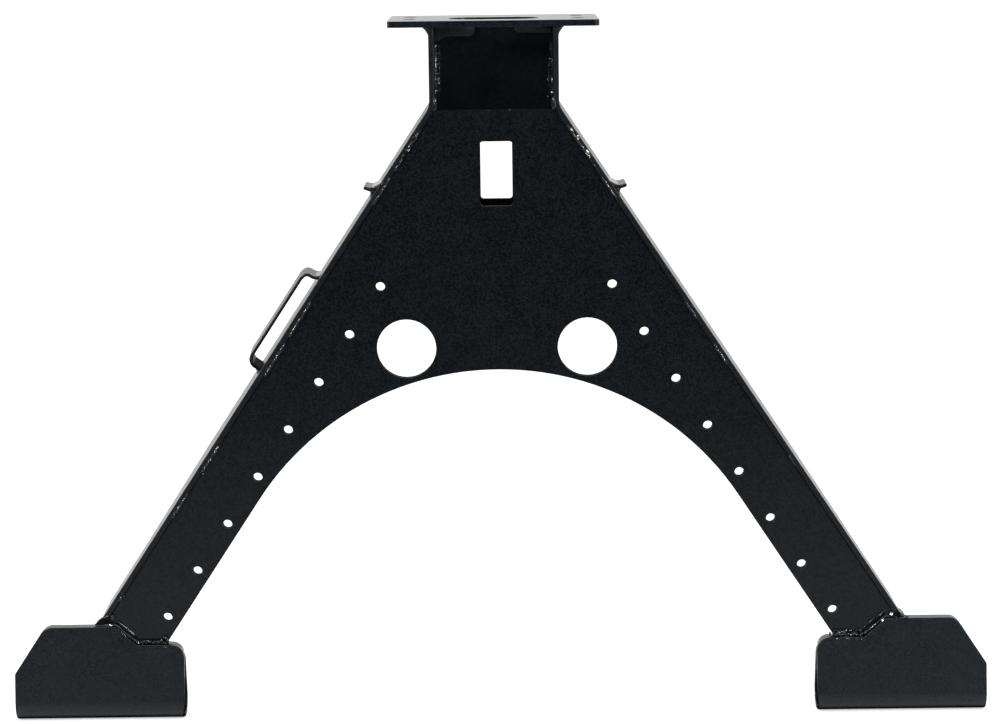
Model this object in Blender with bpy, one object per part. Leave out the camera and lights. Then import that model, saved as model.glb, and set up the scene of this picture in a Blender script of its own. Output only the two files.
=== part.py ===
# Welded A-frame hitch support: a top flange on a short riser, two splayed legs with a
# perforated front web, and a folded shoe on each leg. The front faces -Y and +Z is up.
# Lengths are metres; the floor is at z = 0 and the front web's face is the depth datum.

import math

import bmesh
import bpy
from mathutils import Matrix, Vector

FIT = 0.0003                        # gap that touching pieces keep

# Side bars: flat bars bent at the shoulder, from the top flange down to the shoes
LEG_ANGLE = math.radians(33.45)     # lean of the legs from the vertical
SHOULDER_HEIGHT = 0.6197            # outer corner where the riser bends into the leg
RISER_HEIGHT = 0.0777               # shoulder to the underside of the flange
RISER_WIDTH = 0.128
BAR_THICKNESS = 0.0048
BAR_DEPTH = 0.127
BAR_FOOT_DEPTH = 0.092
BAR_TAPER_LENGTH = 0.125
BAR_FOOT_LENGTH = 0.065             # stretch at the foot that keeps the narrow depth
BAR_BEND_RADIUS = 0.018
BAR_PROUD = 0.003                   # how far the bars stand in front of the web

# Front web
WEB_THICKNESS = 0.010
WEB_TOP_DROP = 0.004                # web's top edge below the shoulder
WEB_FOOT = 0.0393                   # lower end of the web above the floor, inside the shoes
WEB_FOOT_INSET = 0.0006             # web's foot inside the shoe's outline
LEG_WIDTH = 0.0690
ARCH_RADIUS = 0.2885
PIN_HOLE_DIAMETER = 0.0096
PIN_HOLE_PITCH = 0.0576
PIN_HOLE_START = 0.1773             # first hole, along the leg from the shoulder
PIN_HOLE_EDGE = 0.0136              # hole row to the leg's inner edge
PIN_HOLE_FOOT = 0.018               # least height of a hole above the shoe's step
LIGHTENING_DIAMETER = 0.0595
LIGHTENING_SPACING = 0.181
LIGHTENING_LIGAMENT = 0.0050        # metal between the hole and the arch
WINDOW_WIDTH = 0.0322
WINDOW_HEIGHT = 0.0645
WINDOW_DROP = 0.0308                # window's top below the web's top edge
WINDOW_OFFSET = 0.0014              # right of the middle
WINDOW_RADIUS = 0.003

# Rear web
REAR_WEB_SETBACK = 0.0715           # front web's face to the rear web's face
REAR_WEB_THICKNESS = 0.0055
REAR_WEB_SKIRT = 0.048              # rear web below the window

# Top flange
FLANGE_WIDTH = 0.2085
FLANGE_THICKNESS = 0.0063
FLANGE_OVERHANG = 0.002             # past the bars, front and back
FLANGE_RADIUS = 0.005
FLANGE_OPENING_WIDTH = 0.090
FLANGE_OPENING_DEPTH = 0.047
FLANGE_OPENING_CLEAR = 0.001        # opening in front of the rear web
BOLT_SPACING_X = 0.167
BOLT_SPACING_Y = 0.052
BOLT_HOLE_DIAMETER = 0.013

# Shoes: plates folded round the foot of each leg
SHOE_LENGTH = 0.1708
SHOE_HEIGHT = 0.0966
SHOE_STEP = 0.0188                  # drop of the top edge on the inner side
SHOE_STEP_INSET = 0.012             # step's upper end from the bar
SHOE_STEP_ANGLE = math.radians(40)  # fall of the step from the level
SHOE_REACH = 0.0166                 # inner end past the leg's inner edge
SHOE_CHAMFER_HEIGHT = 0.0500
SHOE_DEPTH = 0.040
SHOE_REAR_DROP = 0.008              # rear wall below the front one
SHOE_WALL = 0.004
SHOE_FOLD_RADIUS = 0.018
SHOE_CORNER_RADIUS = 0.012

# Strap loop on the left leg
LOOP_START = 0.2075                 # along the leg from the shoulder
LOOP_LENGTH = 0.1125
LOOP_HEIGHT = 0.0165
LOOP_THICKNESS = 0.0032
LOOP_WIDTH = 0.042
LOOP_RADIUS = 0.009
LOOP_SETBACK = 0.030                # from the bar's front edge

# Lugs on both legs
LUG_DROP = 0.081                    # below the shoulder
LUG_LENGTH = 0.013
LUG_THICKNESS = 0.0036
LUG_TIP_LIFT = 0.0012
LUG_WIDTH = 0.048
LUG_SETBACK = 0.003

# Weld beads: leg lengths, and the pitch of their ripples
RIPPLE_PITCH = 0.006
RIPPLE_DIP = 0.86
BEAD_END = 0.55
FLANGE_BEAD_REACH = 0.0062
FLANGE_BEAD_FALL = 0.0085
LIP_BEAD_START = 0.004              # from the bar's inner face
LIP_BEAD_LENGTH = 0.034
LIP_BEAD_DROP = {"left": 0.0145, "right": 0.0113}
LIP_BEAD_REACH = 0.006
RISER_BEAD = {"left": 0.0060, "right": 0.0042}
RISER_BEAD_FOOT = 0.004             # lower end of the riser's corner bead above the shoulder
RISER_BEAD_TOP = 0.019              # upper end of that bead below the flange
SHOULDER_BEAD = 0.0028
SHOULDER_BEAD_LENGTH = 0.013
SEAM_BEAD_PROUD = 0.0026
SEAM_BEAD_REACH = 0.0032
FOOT_BEAD_RISE = 0.0045
FOOT_BEAD_REACH = 0.0045
HEEL_BEAD = 0.0048
LOOP_BEAD = 0.0045
LUG_BEAD_REACH = 0.0060             # along the lug
LUG_BEAD_FALL = 0.0095              # down the bar, under the lug
LUG_BEAD_RISE = 0.0055              # up the bar, over the lug

# Seam beads, as shares of each leg's length from the shoulder to the shoe
SEAM_BEADS = {
    "left": ((0.035, 0.077), (0.090, 0.118), (0.126, 0.182), (0.363, 0.434), (0.442, 0.509),
             (0.641, 0.697), (0.734, 0.787), (0.938, 0.952)),
    "right": ((0.030, 0.101), (0.126, 0.174), (0.368, 0.409), (0.453, 0.497), (0.672, 0.699)),
}

# Facets on round stretches
PIN_HOLE_SIDES = 20
LIGHTENING_SIDES = 40
BOLT_HOLE_SIDES = 20
ARCH_STEPS = 26
FOLD_STEPS = 9
BEND_STEPS = 4
CORNER_STEPS = 5

BLACK_PAINT = (0.012, 0.013, 0.015)
WELD_PAINT = (0.020, 0.021, 0.023)

SIDES = {"left": -1, "right": 1}
UP = Vector((0, 0, 1))
BACK = Vector((0, 1, 0))

# Sizes that follow from the driving ones
LEG_DOWN = Vector((math.sin(LEG_ANGLE), -math.cos(LEG_ANGLE)))
LEG_OUT = Vector((math.cos(LEG_ANGLE), math.sin(LEG_ANGLE)))
SHOULDER = Vector((RISER_WIDTH / 2, SHOULDER_HEIGHT))
FLANGE_UNDERSIDE = SHOULDER_HEIGHT + RISER_HEIGHT
BAR_FRONT = -BAR_PROUD
BAR_REAR = BAR_FRONT + BAR_DEPTH
WEB_TOP = SHOULDER_HEIGHT - WEB_TOP_DROP
WEB_MIDDLE = WEB_THICKNESS / 2
WINDOW_TOP = WEB_TOP - WINDOW_DROP
WINDOW_FOOT = WINDOW_TOP - WINDOW_HEIGHT
SHOE_STEP_HEIGHT = SHOE_HEIGHT - SHOE_STEP
LEG_LENGTH = (SHOULDER_HEIGHT - BAR_THICKNESS * LEG_OUT.y - SHOE_HEIGHT - FIT) / math.cos(LEG_ANGLE)
FLANGE_FRONT = BAR_FRONT - FLANGE_OVERHANG
FLANGE_REAR = BAR_REAR + FLANGE_OVERHANG
SHOE_FRONT = WEB_MIDDLE - SHOE_DEPTH / 2
SHOE_REAR = WEB_MIDDLE + SHOE_DEPTH / 2
DEPTH_CENTRE = (min(FLANGE_FRONT, SHOE_FRONT) + max(FLANGE_REAR, SHOE_REAR)) / 2


def clear_scene():
    for item in list(bpy.data.objects):
        bpy.data.objects.remove(item)


def leg_point(along, out):
    """Point of the right leg in the front view, along it and out from its outer face."""
    return SHOULDER + LEG_DOWN * along + LEG_OUT * out


def leg_x(out, height):
    """Where a line parallel to the right leg crosses a height."""
    return (SHOULDER.dot(LEG_OUT) + out - height * LEG_OUT.y) / LEG_OUT.x


def arc(centre, radius, start, end, steps):
    """Points of a circular arc, from one angle to another."""
    points = []
    for step in range(steps + 1):
        angle = start + (end - start) * step / steps
        points.append(Vector((centre[0] + radius * math.cos(angle), centre[1] + radius * math.sin(angle))))
    return points


def rounded(corners, steps=CORNER_STEPS):
    """Outline whose corners (x, y, radius) are replaced by tangent arcs."""
    outline = []
    for index, (x, y, radius) in enumerate(corners):
        corner = Vector((x, y))
        if radius <= 0:
            outline.append(corner)
            continue
        before = (Vector(corners[index - 1][:2]) - corner).normalized()
        after = (Vector(corners[(index + 1) % len(corners)][:2]) - corner).normalized()
        half = before.angle(after) / 2
        centre = corner + (before + after).normalized() * radius / math.sin(half)
        start = corner + before * radius / math.tan(half) - centre
        end = corner + after * radius / math.tan(half) - centre
        turn = start.angle_signed(end)
        for step in range(steps + 1):
            outline.append(centre + Matrix.Rotation(-turn * step / steps, 2) @ start)
    return outline


def rectangle(width, height, radius, middle=(0, 0)):
    """Outline of a rectangle with rounded corners about its middle."""
    x, y = middle
    signs = ((-1, -1), (1, -1), (1, 1), (-1, 1))
    return rounded([(x + sx * width / 2, y + sy * height / 2, radius) for sx, sy in signs])


def place(plane, point, height):
    """Turns a flat outline point and a height along its normal into a 3-D point."""
    u, v = point
    if plane == "XZ":
        return Vector((u, height, v))
    if plane == "YZ":
        return Vector((height, u, v))
    return Vector((u, v, height))


def add_loft(bm, rings):
    """Closed skin through rings of points, with a cap on each end."""
    loops = [[bm.verts.new(point) for point in ring] for ring in rings]
    for near, far in zip(loops, loops[1:]):
        for index in range(len(near)):
            nearest = index - 1
            bm.faces.new((near[nearest], near[index], far[index], far[nearest]))
    bm.faces.new(loops[0])
    bm.faces.new(loops[-1])


def add_prism(bm, outline, low, high, plane="XZ"):
    """Straight extrusion of a flat outline."""
    add_loft(bm, [[place(plane, point, height) for point in outline] for height in (low, high)])


def add_round(bm, middle, diameter, low, high, sides, plane="XZ"):
    """Straight round bar."""
    turn = 2 * math.pi * (1 - 1 / sides)
    add_prism(bm, arc(middle, diameter / 2, 0, turn, sides - 1), low, high, plane)


def paint(name, colour, roughness):
    material = bpy.data.materials.new(name)
    material.use_nodes = True
    shader = material.node_tree.nodes["Principled BSDF"]
    shader.inputs["Base Color"].default_value = (*colour, 1)
    shader.inputs["Roughness"].default_value = roughness
    shader.inputs["Metallic"].default_value = 0
    return material


def finish(name, bm, frame, colour=BLACK_PAINT, roughness=0.4):
    """Turns a bmesh into a named, painted object carried by the frame's empty."""
    bmesh.ops.recalc_face_normals(bm, faces=bm.faces)
    mesh = bpy.data.meshes.new(name)
    bm.to_mesh(mesh)
    bm.free()
    mesh.shade_smooth()
    mesh.set_sharp_from_angle(angle=math.radians(32))
    piece = bpy.data.objects.new(name, mesh)
    piece.parent = frame
    bpy.context.scene.collection.objects.link(piece)
    mesh.materials.append(paint(name + "_paint", colour, roughness))
    return piece


def cut(piece, bm, frame, operation="DIFFERENCE"):
    """Boolean with a hidden cutter."""
    cutter = finish("cutter_" + piece.name, bm, frame)
    cutter.hide_render = True
    cutter.display_type = "WIRE"
    step = piece.modifiers.new("cut", "BOOLEAN")
    step.operation = operation
    step.solver = "EXACT"
    step.object = cutter


def mirrored(points, side):
    return [Vector((side * point[0], point[1])) for point in points]


def both_sides(right_half):
    """Closed outline from its right half, listed from the top down and back to the middle."""
    return right_half + [Vector((-point.x, point.y)) for point in reversed(right_half) if point.x > 0]


def inner_edge(top, foot):
    """Right edge of a plate that fits between the bars, from its top down to its foot."""
    inside = BAR_THICKNESS + FIT
    riser_x = RISER_WIDTH / 2 - inside
    bend = (SHOULDER.dot(LEG_OUT) - inside - riser_x * LEG_OUT.x) / LEG_OUT.y
    heights = [top, foot]
    if foot < bend < top:
        heights.insert(1, bend)
    return [Vector((riser_x if height >= bend else leg_x(-inside, height), height)) for height in heights]


def arch_centre():
    """Height of the arch's centre, which makes it tangent to the legs' inner edges."""
    return (SHOULDER.dot(LEG_OUT) - LEG_WIDTH - ARCH_RADIUS) / LEG_OUT.y


def window_outline():
    middle = (WINDOW_OFFSET, (WINDOW_TOP + WINDOW_FOOT) / 2)
    return rectangle(WINDOW_WIDTH, WINDOW_HEIGHT, WINDOW_RADIUS, middle)


def web_foot():
    """Web's foot between the shoe's walls, from the bar out to both ends of the shoe and up the leg."""
    upper, lower = shoe_step()
    inner = shoe_inner_end() + WEB_FOOT_INSET
    outer = shoe_inner_end() + SHOE_LENGTH - WEB_FOOT_INSET
    edge = shoe_edge(WEB_FOOT_INSET)
    heel = [Vector((min(point.x, outer), point.y)) for point in edge if point.x > upper.x]
    toe = [Vector((max(point.x, inner), point.y)) for point in edge if point.x < lower.x]
    step = lower.y - WEB_FOOT_INSET
    below = [Vector((outer, WEB_FOOT)), Vector((inner, WEB_FOOT))]
    return heel[::-1] + below + toe[::-1] + [Vector((leg_x(-LEG_WIDTH, step), step))]


def front_web(frame):
    """Web between the bars, arched below, with pin holes, lightening holes and a window."""
    centre = (0, arch_centre())
    right_half = inner_edge(WEB_TOP, SHOE_HEIGHT - WEB_FOOT_INSET) + web_foot()
    right_half += arc(centre, ARCH_RADIUS, LEG_ANGLE, math.pi / 2, ARCH_STEPS)
    right_half[-1].x = 0
    bm = bmesh.new()
    add_prism(bm, both_sides(right_half), 0, WEB_THICKNESS)
    web = finish("front_web", bm, frame)

    bm = bmesh.new()
    through = (-WEB_THICKNESS, 2 * WEB_THICKNESS)
    row = PIN_HOLE_EDGE - LEG_WIDTH
    lowest = SHOE_STEP_HEIGHT + PIN_HOLE_FOOT
    along = PIN_HOLE_START
    while leg_point(along, row).y > lowest:
        for side in SIDES.values():
            spot = mirrored([leg_point(along, row)], side)[0]
            add_round(bm, spot, PIN_HOLE_DIAMETER, *through, PIN_HOLE_SIDES)
        along += PIN_HOLE_PITCH
    reach = ARCH_RADIUS + LIGHTENING_LIGAMENT + LIGHTENING_DIAMETER / 2
    rise = arch_centre() + math.sqrt(reach ** 2 - (LIGHTENING_SPACING / 2) ** 2)
    for side in SIDES.values():
        spot = (side * LIGHTENING_SPACING / 2, rise)
        add_round(bm, spot, LIGHTENING_DIAMETER, *through, LIGHTENING_SIDES)
    add_prism(bm, window_outline(), *through)
    cut(web, bm, frame)


def rear_web(frame):
    """Plate behind the front web, from the flange down past the window."""
    foot = WINDOW_FOOT - REAR_WEB_SKIRT
    front = REAR_WEB_SETBACK
    rear = front + REAR_WEB_THICKNESS
    bm = bmesh.new()
    add_prism(bm, both_sides(inner_edge(FLANGE_UNDERSIDE - FIT, foot)), front, rear)
    plate = finish("rear_web", bm, frame)
    bm = bmesh.new()
    add_prism(bm, window_outline(), front - REAR_WEB_THICKNESS, rear + REAR_WEB_THICKNESS)
    cut(plate, bm, frame)


def side_bar(name, side, frame):
    """Flat bar with one bend, deep at the riser and narrower at the foot."""
    tangent = BAR_BEND_RADIUS * math.tan(LEG_ANGLE / 2)
    centre = SHOULDER + Vector((BAR_BEND_RADIUS, tangent))
    angles = (math.pi, math.pi + LEG_ANGLE)
    outer = [Vector((SHOULDER.x, FLANGE_UNDERSIDE - FIT))]
    outer += arc(centre, BAR_BEND_RADIUS, *angles, BEND_STEPS)
    inner = [outer[0] - Vector((BAR_THICKNESS, 0))]
    inner += arc(centre, BAR_BEND_RADIUS + BAR_THICKNESS, *angles, BEND_STEPS)
    rear = [BAR_REAR] * len(outer)
    taper_end = LEG_LENGTH - BAR_FOOT_LENGTH
    foot_rear = BAR_FRONT + BAR_FOOT_DEPTH
    stations = ((taper_end - BAR_TAPER_LENGTH, BAR_REAR), (taper_end, foot_rear), (LEG_LENGTH, foot_rear))
    for along, back in stations:
        outer.append(leg_point(along, 0))
        inner.append(leg_point(along, -BAR_THICKNESS))
        rear.append(back)
    rings = []
    for near, far, back in zip(mirrored(outer, side), mirrored(inner, side), rear):
        rings.append([place("XZ", point, depth) for point, depth in
                      ((near, BAR_FRONT), (near, back), (far, back), (far, BAR_FRONT))])
    bm = bmesh.new()
    add_loft(bm, rings)
    finish(name, bm, frame)


def top_flange(frame):
    """Bolting plate with an oblong opening and a bolt hole near each corner."""
    depth = FLANGE_REAR - FLANGE_FRONT
    middle = (0, (FLANGE_FRONT + FLANGE_REAR) / 2)
    top = FLANGE_UNDERSIDE + FLANGE_THICKNESS
    bm = bmesh.new()
    add_prism(bm, rectangle(FLANGE_WIDTH, depth, FLANGE_RADIUS, middle), FLANGE_UNDERSIDE, top, "XY")
    flange = finish("top_flange", bm, frame)

    bm = bmesh.new()
    through = (FLANGE_UNDERSIDE - FLANGE_THICKNESS, top + FLANGE_THICKNESS)
    ends = []
    radius = FLANGE_OPENING_DEPTH / 2
    shift = FLANGE_OPENING_WIDTH / 2 - radius
    opening = REAR_WEB_SETBACK - FLANGE_OPENING_CLEAR - radius
    for side, start in ((1, -math.pi / 2), (-1, math.pi / 2)):
        ends += arc((side * shift, opening), radius, start, start + math.pi, 2 * FOLD_STEPS)
    add_prism(bm, ends, *through, "XY")
    for side_x in SIDES.values():
        for side_y in SIDES.values():
            spot = (side_x * BOLT_SPACING_X / 2, middle[1] + side_y * BOLT_SPACING_Y / 2)
            add_round(bm, spot, BOLT_HOLE_DIAMETER, *through, BOLT_HOLE_SIDES, "XY")
    cut(flange, bm, frame)


def shoe_inner_end():
    return leg_x(-LEG_WIDTH, SHOE_STEP_HEIGHT) - SHOE_REACH


def shoe_step():
    """Upper and lower end of the sloping step in the shoe's top edge."""
    upper = Vector((leg_x(-BAR_THICKNESS, SHOE_HEIGHT) - SHOE_STEP_INSET, SHOE_HEIGHT))
    lower = upper - Vector((SHOE_STEP / math.tan(SHOE_STEP_ANGLE), SHOE_STEP))
    return upper, lower


def shoe_seam(drop):
    """Route along a shoe wall's top edge, from the bar to the leg's inner edge."""
    upper, lower = shoe_step()
    shift = Vector((0, -drop))
    start = leg_x(-BAR_THICKNESS, SHOE_HEIGHT) - FOOT_BEAD_RISE
    end = leg_x(-LEG_WIDTH, lower.y - drop)
    ends = (Vector((start, SHOE_HEIGHT)), Vector((end, lower.y)))
    return [point + shift for point in (ends[0], upper, lower, ends[1])]


def shoe_section():
    """Cross-section of the folded plate: walls closing in on the web over a round-cornered foot."""
    gap = WEB_MIDDLE + FIT
    inner_radius = SHOE_FOLD_RADIUS - SHOE_WALL
    centre = Vector((SHOE_DEPTH / 2 - SHOE_FOLD_RADIUS, SHOE_FOLD_RADIUS))
    to_centre = centre - Vector((gap, SHOE_HEIGHT))
    flare = math.atan2(to_centre.x, -to_centre.y) + math.asin(inner_radius / to_centre.length)
    outward = Vector((math.cos(flare), math.sin(flare)))
    upward = Vector((-math.sin(flare), math.cos(flare))) * SHOE_WALL
    top = Vector((gap, SHOE_HEIGHT)) + upward
    inner = [top] + arc(centre, inner_radius, flare, -math.pi / 2, FOLD_STEPS)
    outer = [top + outward * SHOE_WALL] + arc(centre, SHOE_FOLD_RADIUS, flare, -math.pi / 2, FOLD_STEPS)
    front = [Vector((-point.x, point.y)) for point in outer]
    loop = front + outer[::-1] + inner + [Vector((-point.x, point.y)) for point in reversed(inner)]
    return [Vector((WEB_MIDDLE + point.x, point.y)) for point in loop]


def shoe_edge(drop=0):
    """Upper edge of a shoe's wall in the front view, from its outer end to its inner end."""
    inner = shoe_inner_end()
    outer = inner + SHOE_LENGTH
    upper, lower = shoe_step()
    chamfer_top = outer - (SHOE_HEIGHT - SHOE_CHAMFER_HEIGHT) * math.tan(LEG_ANGLE)
    corners = rounded([
        (inner, -SHOE_WALL, 0),
        (outer, -SHOE_WALL, 0),
        (outer, SHOE_CHAMFER_HEIGHT, SHOE_CORNER_RADIUS / 2),
        (chamfer_top, SHOE_HEIGHT, SHOE_CORNER_RADIUS),
        (upper.x, upper.y, 0),
        (lower.x, lower.y, 0),
        (inner, SHOE_STEP_HEIGHT, SHOE_CORNER_RADIUS),
    ])
    return [point - Vector((0, drop)) for point in corners[2:]]


def foot_shoe(name, side, frame):
    """Folded shoe trimmed to its outline in the front view, with a lower rear wall."""
    past = SHOE_WALL
    low, high = -past, SHOE_HEIGHT + past
    inner = shoe_inner_end()
    outer = inner + SHOE_LENGTH
    ends = sorted((side * (inner - past), side * (outer + past)))
    bm = bmesh.new()
    add_prism(bm, shoe_section(), *ends, "YZ")
    shoe = finish(name, bm, frame)

    outline = [Vector((inner, low)), Vector((outer, low))] + shoe_edge()
    bm = bmesh.new()
    add_prism(bm, mirrored(outline, side), SHOE_FRONT - past, SHOE_REAR + past)
    cut(shoe, bm, frame, "INTERSECT")

    edge = shoe_edge(SHOE_REAR_DROP)
    outline = [Vector((outer + past, edge[0].y))] + edge + [Vector((inner - past, edge[-1].y))]
    outline += [Vector((inner - past, high)), Vector((outer + past, high))]
    bm = bmesh.new()
    add_prism(bm, mirrored(outline, side), WEB_MIDDLE, SHOE_REAR + past)
    cut(shoe, bm, frame)


def strap_loop(name, side, frame):
    """Flat strap bent into a loop whose two ends stand on the bar."""
    start, end = LOOP_START, LOOP_START + LOOP_LENGTH
    half_turn = math.pi / 2

    def staple(inset):
        radius = LOOP_RADIUS - inset
        height = LOOP_HEIGHT - LOOP_RADIUS
        near = arc((start + LOOP_RADIUS, height), radius, math.pi, half_turn, CORNER_STEPS)
        far = arc((end - LOOP_RADIUS, height), radius, half_turn, 0, CORNER_STEPS)
        return [(start + inset, FIT)] + near + far + [(end - inset, FIT)]

    loop = staple(0) + staple(LOOP_THICKNESS)[::-1]
    outline = mirrored([leg_point(along, out) for along, out in loop], side)
    front = BAR_FRONT + LOOP_SETBACK
    bm = bmesh.new()
    add_prism(bm, outline, front, front + LOOP_WIDTH)
    finish(name, bm, frame)


def lug_root(height):
    """Where a level face meets the right bar's outer face, less the fitting gap."""
    return Vector((leg_x(FIT, height), height))


def lug_heights():
    middle = SHOULDER_HEIGHT - LUG_DROP
    return middle - LUG_THICKNESS / 2, middle + LUG_THICKNESS / 2


def lug(name, side, frame):
    """Short tongue standing out level from the bar, with a lifted round tip."""
    low, high = lug_heights()
    middle = (low + high) / 2
    tip = Vector((leg_x(0, middle) + LUG_LENGTH - LUG_THICKNESS / 2, middle + LUG_TIP_LIFT))
    outline = [lug_root(low), Vector((tip.x - LUG_THICKNESS, low))]
    outline += arc(tip, LUG_THICKNESS / 2, -math.pi / 2, math.pi / 2, CORNER_STEPS)
    outline += [Vector((tip.x - LUG_THICKNESS, high)), lug_root(high)]
    front = BAR_FRONT + LUG_SETBACK
    bm = bmesh.new()
    add_prism(bm, mirrored(outline, side), front, front + LUG_WIDTH)
    finish(name, bm, frame)


def add_bead(bm, path, sides_a, sides_b):
    """Rippled fillet bead along a path, in the corner between two faces.

    At each point of the path, side a and side b run from the corner along the two faces,
    as long as the bead's legs there.
    """
    stations = []
    for index in range(len(path) - 1):
        count = max(1, round((path[index + 1] - path[index]).length / RIPPLE_PITCH))
        for step in range(count):
            share = step / count
            stations.append([near.lerp(far, share) for near, far in (
                (path[index], path[index + 1]), (sides_a[index], sides_a[index + 1]),
                (sides_b[index], sides_b[index + 1]))])
    stations.append([path[-1], sides_a[-1], sides_b[-1]])
    section = ((0, 0), (1, 0), (0.84, 0.46), (0.46, 0.84), (0, 1))
    rings = []
    for index, (corner, along_a, along_b) in enumerate(stations):
        swell = RIPPLE_DIP if index % 2 else 1
        if index in (0, len(stations) - 1):
            swell = BEAD_END
        unit_a, unit_b = along_a.normalized(), along_b.normalized()
        clear = corner + (unit_a + unit_b) * FIT / math.sin(unit_a.angle(unit_b))
        rings.append([clear + (along_a * a + along_b * b) * swell for a, b in section])
    add_loft(bm, rings)


def weld(name, bm, frame):
    finish(name, bm, frame, WELD_PAINT, 0.3)


def solid_point(side, point, depth):
    """Point of the front view, mirrored to its side and set at a depth."""
    return Vector((side * point[0], depth, point[1]))


def solid_way(side, way):
    """Direction of the front view, mirrored to its side."""
    return Vector((side * way[0], 0, way[1]))


def flange_welds(key, side, frame):
    """Fillets that hold a bar and the rear web to the flange."""
    out = Vector((side, 0, 0))
    corner = (SHOULDER.x, FLANGE_UNDERSIDE)
    bm = bmesh.new()
    path = [solid_point(side, corner, BAR_FRONT), solid_point(side, corner, BAR_REAR)]
    add_bead(bm, path, [out * FLANGE_BEAD_REACH] * 2, [-UP * FLANGE_BEAD_FALL] * 2)
    weld("flange_weld_" + key, bm, frame)

    bm = bmesh.new()
    wall = SHOULDER.x - BAR_THICKNESS
    path = [solid_point(side, (wall - length, FLANGE_UNDERSIDE), REAR_WEB_SETBACK)
            for length in (LIP_BEAD_START, LIP_BEAD_START + LIP_BEAD_LENGTH)]
    add_bead(bm, path, [-BACK * LIP_BEAD_REACH] * 2, [-UP * LIP_BEAD_DROP[key]] * 2)
    weld("rear_web_weld_" + key, bm, frame)


def riser_welds(key, side, frame):
    """Upright beads inside the riser, in its rear corner and at the web's top corner."""
    out = Vector((side, 0, 0))
    wall = SHOULDER.x - BAR_THICKNESS
    ends = (SHOULDER_HEIGHT + RISER_BEAD_FOOT, FLANGE_UNDERSIDE - RISER_BEAD_TOP)
    path = [solid_point(side, (wall, height), REAR_WEB_SETBACK) for height in ends]
    bm = bmesh.new()
    add_bead(bm, path, [-out * RISER_BEAD[key]] * 2, [-BACK * RISER_BEAD[key]] * 2)
    weld("riser_weld_" + key, bm, frame)

    foot = WEB_TOP + FIT
    path = [solid_point(side, (wall, height), BAR_FRONT) for height in (foot, foot + SHOULDER_BEAD_LENGTH)]
    bm = bmesh.new()
    add_bead(bm, path, [-out * SHOULDER_BEAD] * 2, [BACK * SHOULDER_BEAD] * 2)
    weld("shoulder_weld_" + key, bm, frame)


def seam_welds(key, side, frame):
    """Stitch beads between a bar and the front web."""
    inward = solid_way(side, -LEG_OUT)
    for number, ends in enumerate(SEAM_BEADS[key], 1):
        path = [solid_point(side, leg_point(share * LEG_LENGTH, -BAR_THICKNESS), 0) for share in ends]
        bm = bmesh.new()
        add_bead(bm, path, [inward * SEAM_BEAD_REACH] * 2, [-BACK * SEAM_BEAD_PROUD] * 2)
        weld("seam_weld_%s_%d" % (key, number), bm, frame)


def foot_welds(key, side, frame):
    """Beads along the shoe's top edge, front and back, and the heel bead outside the bar."""
    flat = Vector((0, 1))
    slope = Vector((-math.sin(SHOE_STEP_ANGLE), math.cos(SHOE_STEP_ANGLE)))
    mitre = (flat + slope) / (1 + flat.dot(slope))
    rises = [solid_way(side, way * FOOT_BEAD_RISE) for way in (flat, mitre, mitre, flat)]
    faces = (("front", 0, -BACK, 0), ("back", WEB_THICKNESS, BACK, SHOE_REAR_DROP))
    for place_name, depth, out, drop in faces:
        bm = bmesh.new()
        path = [solid_point(side, point, depth) for point in shoe_seam(drop)]
        add_bead(bm, path, [out * FOOT_BEAD_REACH] * len(path), rises)
        weld("foot_weld_%s_%s" % (place_name, key), bm, frame)

    heel = (leg_x(0, SHOE_HEIGHT), SHOE_HEIGHT)
    reach = WEB_MIDDLE + SHOE_WALL
    path = [solid_point(side, heel, WEB_MIDDLE + depth) for depth in (-reach, reach)]
    bm = bmesh.new()
    add_bead(bm, path, [solid_way(side, (HEEL_BEAD, 0))] * 2, [solid_way(side, -LEG_DOWN * HEEL_BEAD)] * 2)
    weld("heel_weld_" + key, bm, frame)


def loop_welds(side, frame):
    """Fillets outside both ends of the strap loop."""
    front = BAR_FRONT + LOOP_SETBACK
    out = solid_way(side, LEG_OUT * LOOP_BEAD)
    for place_name, along, way in (("upper", LOOP_START, -1), ("lower", LOOP_START + LOOP_LENGTH, 1)):
        path = [solid_point(side, leg_point(along, 0), depth) for depth in (front, front + LOOP_WIDTH)]
        bm = bmesh.new()
        add_bead(bm, path, [solid_way(side, LEG_DOWN * way * LOOP_BEAD)] * 2, [out] * 2)
        weld("loop_weld_" + place_name, bm, frame)


def lug_welds(key, side, frame):
    """Fillets under and over a lug."""
    front = BAR_FRONT + LUG_SETBACK
    low, high = lug_heights()
    out = Vector((side, 0, 0))
    for place_name, height, leg in (("lower", low, LEG_DOWN * LUG_BEAD_FALL),
                                    ("upper", high, -LEG_DOWN * LUG_BEAD_RISE)):
        corner = (leg_x(0, height), height)
        path = [solid_point(side, corner, depth) for depth in (front, front + LUG_WIDTH)]
        bm = bmesh.new()
        add_bead(bm, path, [out * LUG_BEAD_REACH] * 2, [solid_way(side, leg)] * 2)
        weld("lug_weld_%s_%s" % (place_name, key), bm, frame)


def build():
    clear_scene()
    frame = bpy.data.objects.new("hitch_frame", None)
    frame.location = (0, -DEPTH_CENTRE, 0)
    bpy.context.scene.collection.objects.link(frame)

    top_flange(frame)
    front_web(frame)
    rear_web(frame)
    for key, side in SIDES.items():
        side_bar("side_bar_" + key, side, frame)
        foot_shoe("foot_shoe_" + key, side, frame)
        lug("lug_" + key, side, frame)
        flange_welds(key, side, frame)
        riser_welds(key, side, frame)
        seam_welds(key, side, frame)
        foot_welds(key, side, frame)
        lug_welds(key, side, frame)
    strap_loop("strap_loop", SIDES["left"], frame)
    loop_welds(SIDES["left"], frame)
    bpy.context.view_layer.update()


build()
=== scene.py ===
# Welded A-frame hitch support: coats, weld beads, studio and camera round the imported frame
import math

import bmesh
import bpy
from mathutils import Matrix, Vector, noise


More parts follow.
